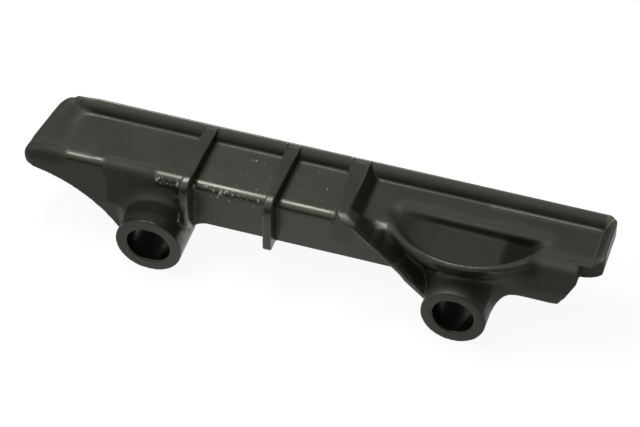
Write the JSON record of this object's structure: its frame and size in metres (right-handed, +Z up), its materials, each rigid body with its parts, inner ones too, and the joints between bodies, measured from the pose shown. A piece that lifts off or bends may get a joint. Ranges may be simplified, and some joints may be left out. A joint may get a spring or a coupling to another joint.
{
  "type": "timing chain guide",
  "caption": "Moulded plastic chain guide rail of L section with a raised lip, cross ribs, a slanted brace, a pocketed bulge, a round pin boss and a slotted pin boss.",
  "frame": {"origin": "on the axis of the round bore, level with the front face of the web", "axes": "+X along the rail towards the lipped end, +Y along the bores from the boss fronts to the chain side, +Z up towards the lip"},
  "size_m": [0.1457, 0.0275, 0.0262],
  "materials": {
    "plastic": "satin moulded surface, dark olive grey"
  },
  "bodies": {
    "root": {"guide_rail": "plastic"}
  },
  "joints": []
}
